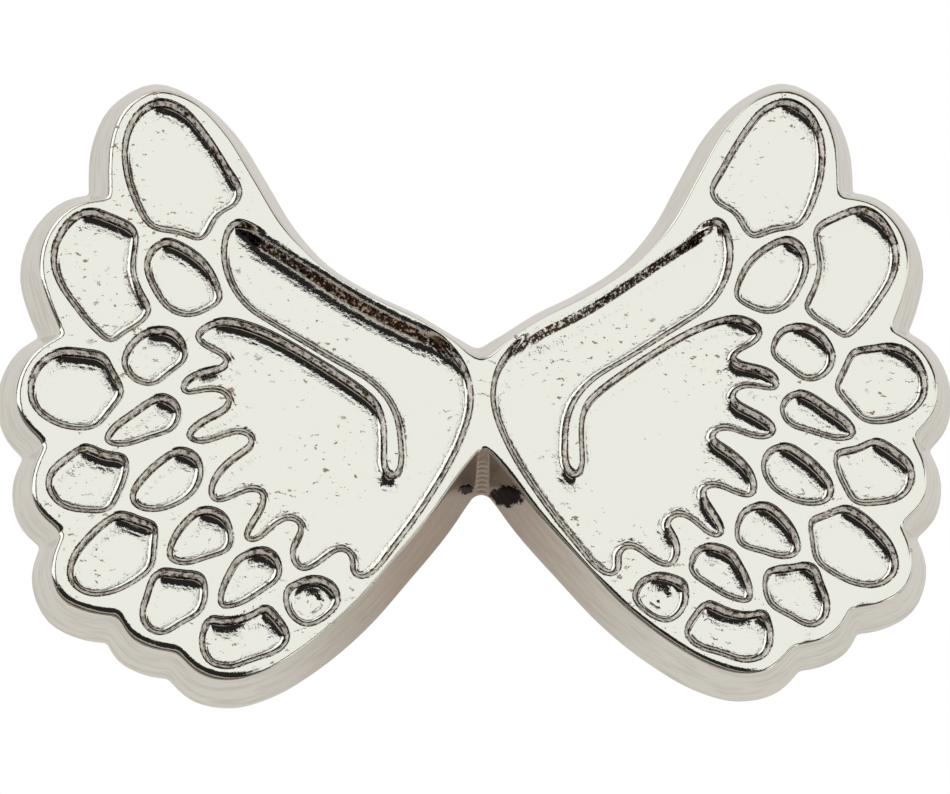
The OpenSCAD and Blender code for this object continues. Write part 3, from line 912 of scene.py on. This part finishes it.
class BADGE_OT_set_stage(bpy.types.Operator):
    """Sets the pale floor, the soft light round the badge and the camera"""

    bl_idname = "badge.set_stage"
    bl_label = "Set the stage"

    def execute(self, context):
        settings = context.scene.badge_stage
        lay_floor(settings)
        light_the_room(context.scene)
        aim_camera(context.scene, settings)
        return {"FINISHED"}


def lay_floor(settings):
    """A pale sheet under the badge, out of sight of its reflections."""
    half = 0.6
    low = -settings.floor_drop
    points = [(-half, -half, low), (half, -half, low), (half, half, low), (-half, half, low)]
    floor = build_mesh("floor", points, [(0, 1, 2, 3)])
    material, r = new_material("pale_floor")
    grain = r.noise(r.place(), 0.4, 3.0)
    tone = tuple(settings.floor)
    r.surface(r.mix(grain, tone, tuple(0.98 * c for c in tone)), 0.7, grain * 0.01, metallic=0.0)
    floor.data.materials.append(material)
    floor.visible_glossy = False


def light_the_room(scene):
    """Soft boxes in front, overhead and at the sides, a dark gap in front below, and a pale table behind."""
    world = bpy.data.worlds.new("light_tent")
    scene.world = world
    world.use_nodes = True
    r = Recipe(world.node_tree)
    x, y, z = r.split(r.add("ShaderNodeTexCoord", output="Generated"))
    lean = math.radians(LIGHT_LEAN)
    beside = x * math.cos(lean) - z * math.sin(lean)
    over = z * math.cos(lean) + x * math.sin(lean) + 0.55 * abs(beside)
    rise = over.math("ARCTAN2", over, -y) * (180 / math.pi)
    tilt = x.math("ARCSINE", beside) * (180 / math.pi)
    dark, brown = (0.022, 0.02, 0.02), (0.075, 0.05, 0.034)
    panel, white, table = (1.0, 1.0, 0.975), (1.3, 1.3, 1.29), (0.73, 0.70, 0.67)
    glint, tan = (0.62, 0.6, 0.56), (0.46, 0.375, 0.315)

    # by the angle that a ray rises in front, over the top and down behind
    across = r.ramp(rise, -180, 180, [
        (-180, brown), (-84, brown), (-80, glint), (-77, glint), (-73, brown), (-50, brown),
        (-48, tan), (-43.5, tan), (-42, brown), (-40.5, brown), (-39, glint), (-36.5, glint),
        (-34.5, dark), (-2, dark), (0, panel), (46, panel), (49, brown), (58, dark), (64, brown),
        (70, glint), (78, table), (110, table), (120, brown), (180, brown),
    ])
    # by the angle that it leans to the side
    along = r.ramp(tilt, -90, 90, [
        (-90, brown), (-68, brown), (-64, white), (-42, white), (-38, brown), (-34, brown), (-31, panel),
        (51, panel), (54, brown), (61, brown), (64, white), (69, white), (73, brown), (90, brown),
    ])
    level = r.step(rise, -14.0, -2.0) * r.step(rise, 60.0, 80.0, 1.0, 0.0)
    mixed = r.mix(r.step(abs(tilt), 29.0, 31.0) * level, across, along)
    mixed = r.mix(r.step(y, 0.02, 0.16), mixed, table)
    seen = r.add("ShaderNodeLightPath", output="Is Camera Ray")
    final = r.mix(seen, mixed, (1.0, 1.0, 1.0))
    glow = r.add("ShaderNodeBackground", None, {"Color": final, "Strength": 1.0})
    r.add("ShaderNodeOutputWorld", None, {"Surface": glow})
    scene.view_settings.view_transform = "Standard"
    scene.view_settings.look = "None"


def aim_camera(scene, settings):
    """A camera in front of the face and a little below it, turned and rolled slightly."""
    rise, turn, roll = (math.radians(angle) for angle in (CAMERA_RISE, CAMERA_TURN, CAMERA_ROLL))
    back = Vector((math.sin(turn) * math.cos(rise), -math.cos(turn) * math.cos(rise), math.sin(rise)))
    right = (-back).cross(Vector((0, 0, 1))).normalized()
    up = right.cross(-back)
    across = math.cos(roll) * right + math.sin(roll) * up
    over = -math.sin(roll) * right + math.cos(roll) * up
    data = bpy.data.cameras.new("camera")
    camera = bpy.data.objects.new("camera", data)
    scene.collection.objects.link(camera)
    turned = Matrix((across, over, back)).transposed().to_4x4()
    turned.translation = Vector((0, -CASTING_T, 0)) * MM + back * settings.distance
    camera.matrix_world = turned
    data.sensor_width = 36.0
    data.lens = settings.lens
    data.shift_x, data.shift_y = CAMERA_SHIFT
    data.clip_start = 0.01
    scene.camera = camera


class BADGE_PT_panel(bpy.types.Panel):
    bl_label = "Wings Badge"
    bl_idname = "BADGE_PT_panel"
    bl_space_type = "VIEW_3D"
    bl_region_type = "UI"
    bl_category = "Wings Badge"

    def draw(self, context):
        for operator in OPERATORS:
            self.layout.operator(operator.bl_idname)
        for name in GROUPS:
            box = self.layout.box()
            group = getattr(context.scene, name)
            for prop in group.bl_rna.properties:
                if prop.identifier not in ("name", "rna_type"):
                    box.prop(group, prop.identifier)


GROUPS = {"badge_casting": CastingSettings, "badge_metals": MetalSettings, "badge_stage": StageSettings}
OPERATORS = (BADGE_OT_cast_wings, BADGE_OT_fit_posts, BADGE_OT_fit_clutches, BADGE_OT_set_stage)
CLASSES = (*GROUPS.values(), *OPERATORS, BADGE_PT_panel)


def register():
    for cls in CLASSES:
        bpy.utils.register_class(cls)
    for name, group in GROUPS.items():
        setattr(bpy.types.Scene, name, bpy.props.PointerProperty(type=group))


def unregister():
    for name in GROUPS:
        delattr(bpy.types.Scene, name)
    for cls in reversed(CLASSES):
        bpy.utils.unregister_class(cls)


def main():
    register()
    bpy.ops.badge.cast_wings()
    bpy.ops.badge.fit_posts()
    bpy.ops.badge.fit_clutches()
    bpy.ops.badge.set_stage()


if __name__ == "__main__":
    main()
